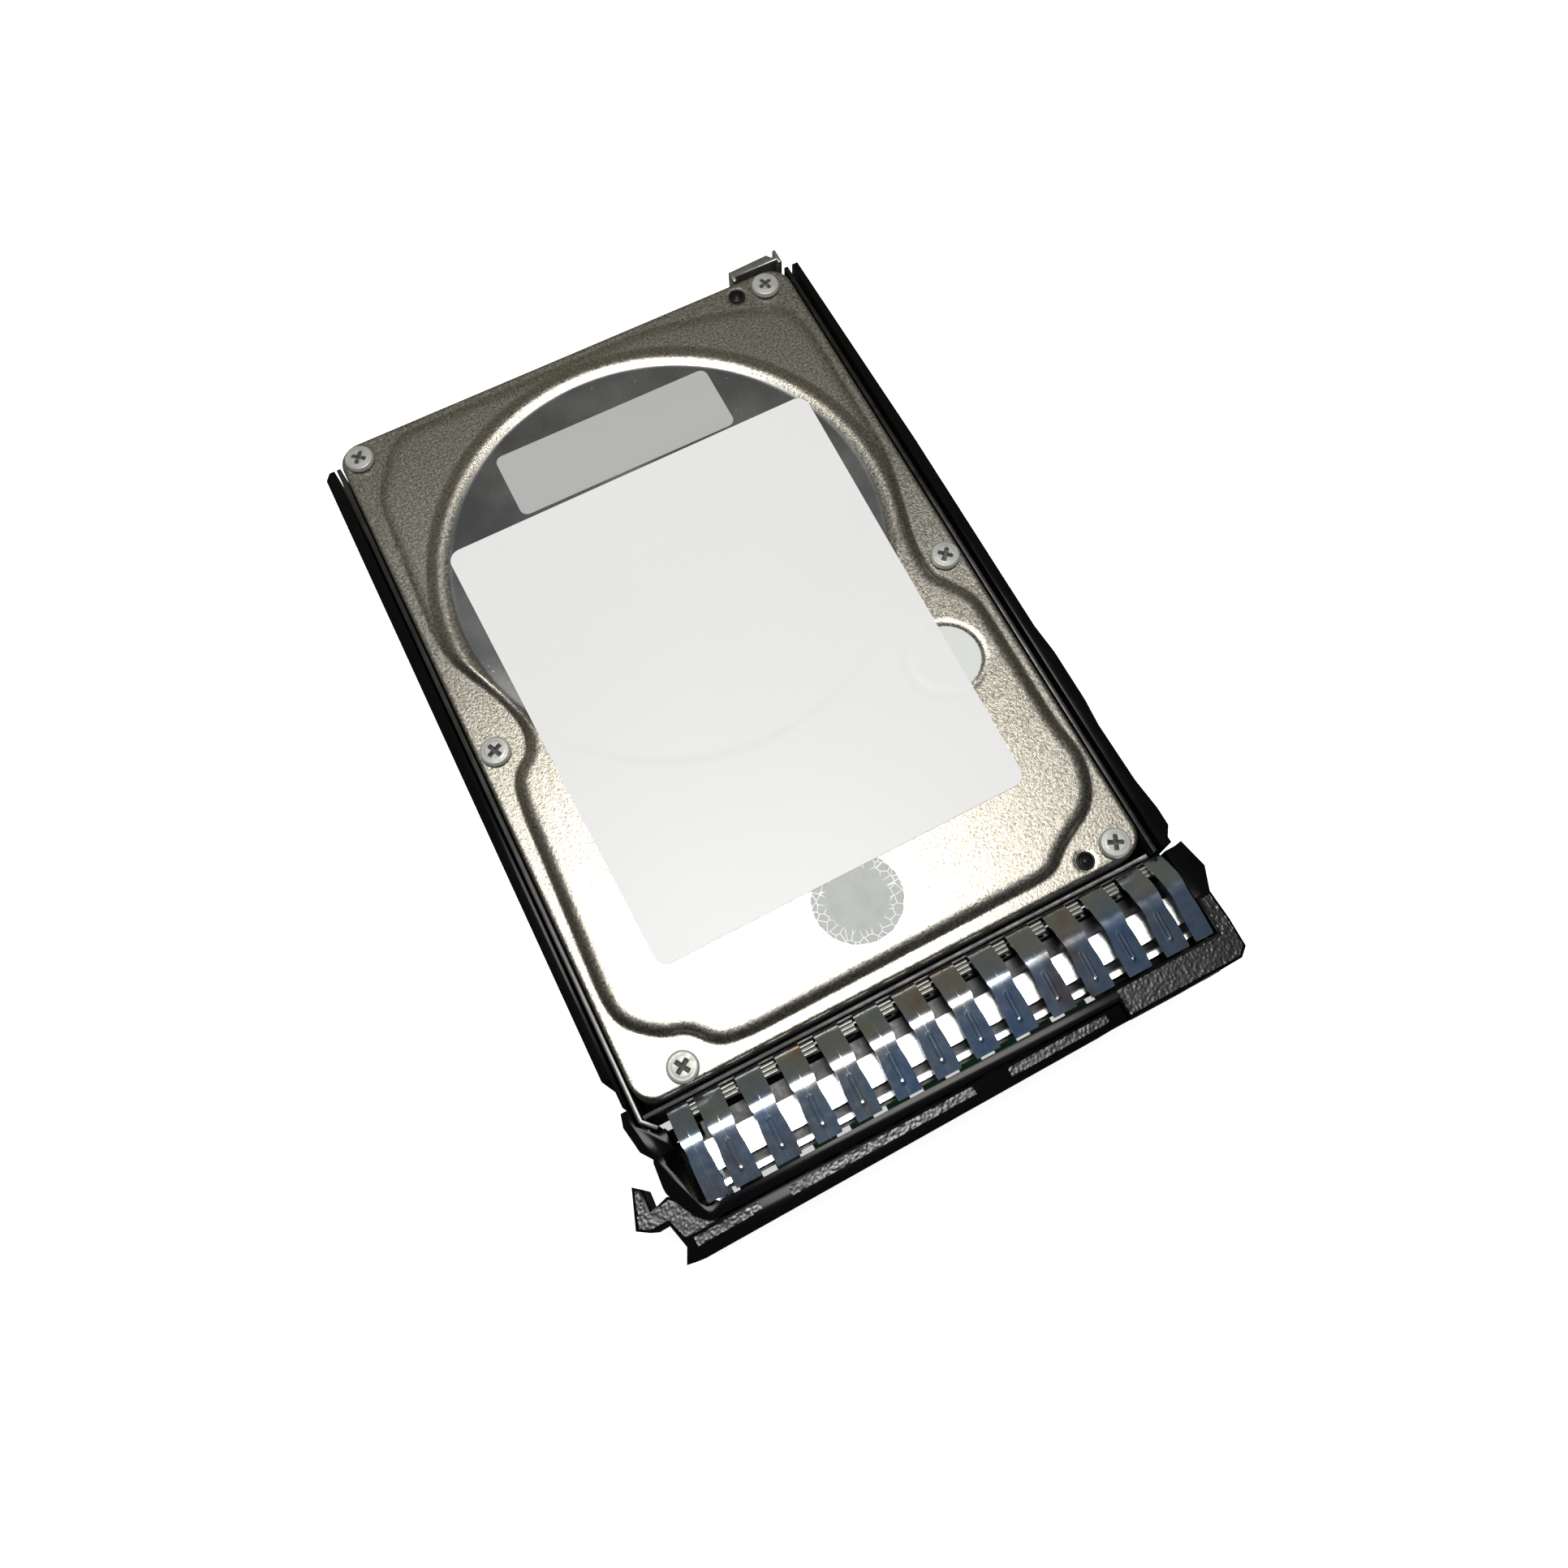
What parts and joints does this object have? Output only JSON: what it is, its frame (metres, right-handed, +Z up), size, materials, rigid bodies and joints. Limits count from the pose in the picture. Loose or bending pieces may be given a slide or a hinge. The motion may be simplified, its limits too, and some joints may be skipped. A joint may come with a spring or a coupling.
{
  "type": "hard disk drive in hot-swap carrier",
  "caption": "Small enterprise hard disk drive in a hot-swap carrier: stamped cover, disks and head actuator inside, side rails, spring shield fingers, hinged front lever and release button.",
  "frame": {"origin": "middle of the whole object's underside, on the plane that the rails' feet and the bezel rest on", "axes": "+Y towards the host connector, along the slide-in direction; +X to the right seen from the front handle; +Z up through the drive's cover"},
  "size_m": [0.081, 0.121, 0.0177],
  "materials": {
    "cover_metal": "fine speckled champagne nickel plate",
    "casting": "die-cast, dull",
    "bright_steel": "bright plated",
    "shield_steel": "polished stainless spring steel",
    "sheet_steel": "plated sheet",
    "dark_steel": "dark plated",
    "rail_plastic": "semi-gloss black",
    "bezel_plastic": "black, coarse moulded texture",
    "button_plastic": "black",
    "clear_plastic": "clear light guide",
    "pale_plastic": "natural",
    "circuit_board": "green solder mask",
    "flex_film": "amber polyimide film",
    "copper_wire": "lacquered copper",
    "disk_surface": "mirror-polished",
    "label_paper": "blank, satin",
    "label_grey": "blank, mid grey",
    "foil": "thin adhesive foil, scratched",
    "black_rubber": "black",
    "gasket_rubber": "dark brown",
    "filter_media": "white non-woven"
  },
  "bodies": {
    "carrier": {"hdd_base": "casting", "top_cover": "cover_metal", "cover_gasket": "gasket_rubber", "cover_screw_1": "bright_steel", "cover_screw_2": "bright_steel", "cover_screw_3": "bright_steel", "cover_screw_4": "bright_steel", "cover_screw_5": "bright_steel", "cover_screw_6": "bright_steel", "cover_plug_rear": "black_rubber", "cover_plug_front": "black_rubber", "main_label": "label_paper", "strip_label": "label_grey", "foil_seal_front": "foil", "foil_seal_side": "foil", "spindle_bearing": "bright_steel", "motor_stator": "copper_wire", "pivot_bearing": "bright_steel", "vcm_yoke_bottom": "bright_steel", "vcm_magnet_bottom": "bright_steel", "vcm_magnet_top": "bright_steel", "vcm_yoke_top": "bright_steel", "load_ramp": "pale_plastic", "crash_stop": "black_rubber", "recirculation_filter": "filter_media", "actuator_flex": "flex_film", "logic_board": "circuit_board", "sas_connector": "bezel_plastic", "carrier_tray": "sheet_steel", "left_rail": "rail_plastic", "right_rail": "rail_plastic", "drive_screw_left_rear": "dark_steel", "drive_screw_left_front": "dark_steel", "drive_screw_right_rear": "dark_steel", "drive_screw_right_front": "dark_steel", "front_bezel": "bezel_plastic", "lever_pin": "bright_steel", "lever_spring": "sheet_steel", "button_spring": "sheet_steel", "shield_fingers_top": "shield_steel", "shield_fingers_bottom": "shield_steel", "shield_inner_strip": "shield_steel", "led_board": "circuit_board", "light_pipe": "clear_plastic", "flex_cable": "flex_film", "rear_contact_clip": "sheet_steel"},
    "disk_pack": {"disk_platter_1": "disk_surface", "disk_platter_2": "disk_surface", "disk_spacer": "bright_steel", "spindle_hub": "sheet_steel", "disk_clamp": "bright_steel"},
    "actuator": {"actuator_block": "casting", "voice_coil": "copper_wire", "head_suspension_1": "bright_steel", "head_suspension_2": "bright_steel", "head_suspension_3": "bright_steel"},
    "latch_lever": {"latch_lever": "bezel_plastic"},
    "release_button": {"release_button": "button_plastic"}
  },
  "joints": [
    {"name": "spindle_spin", "type": "hinge", "parent": "carrier", "child": "disk_pack", "pos_m": [0.0006, 0.02278, 0.0114], "axis": [0, 0, 1], "continuous": true},
    {"name": "actuator_swing", "type": "hinge", "parent": "carrier", "child": "actuator", "pos_m": [0.0166, -0.0149, 0.0114], "axis": [0, 0, -1], "range_deg": [0, 31]},
    {"name": "lever_hinge", "type": "hinge", "parent": "carrier", "child": "latch_lever", "pos_m": [-0.032, -0.0563, 0.0084], "axis": [0, 0, -1], "range_deg": [0, 40]},
    {"name": "button_press", "type": "slide", "parent": "carrier", "child": "release_button", "axis": [0, 1, 0], "range_m": [0, 0.0015], "stiffness_N_per_m": 400, "deforming": ["button_spring"]}
  ]
}
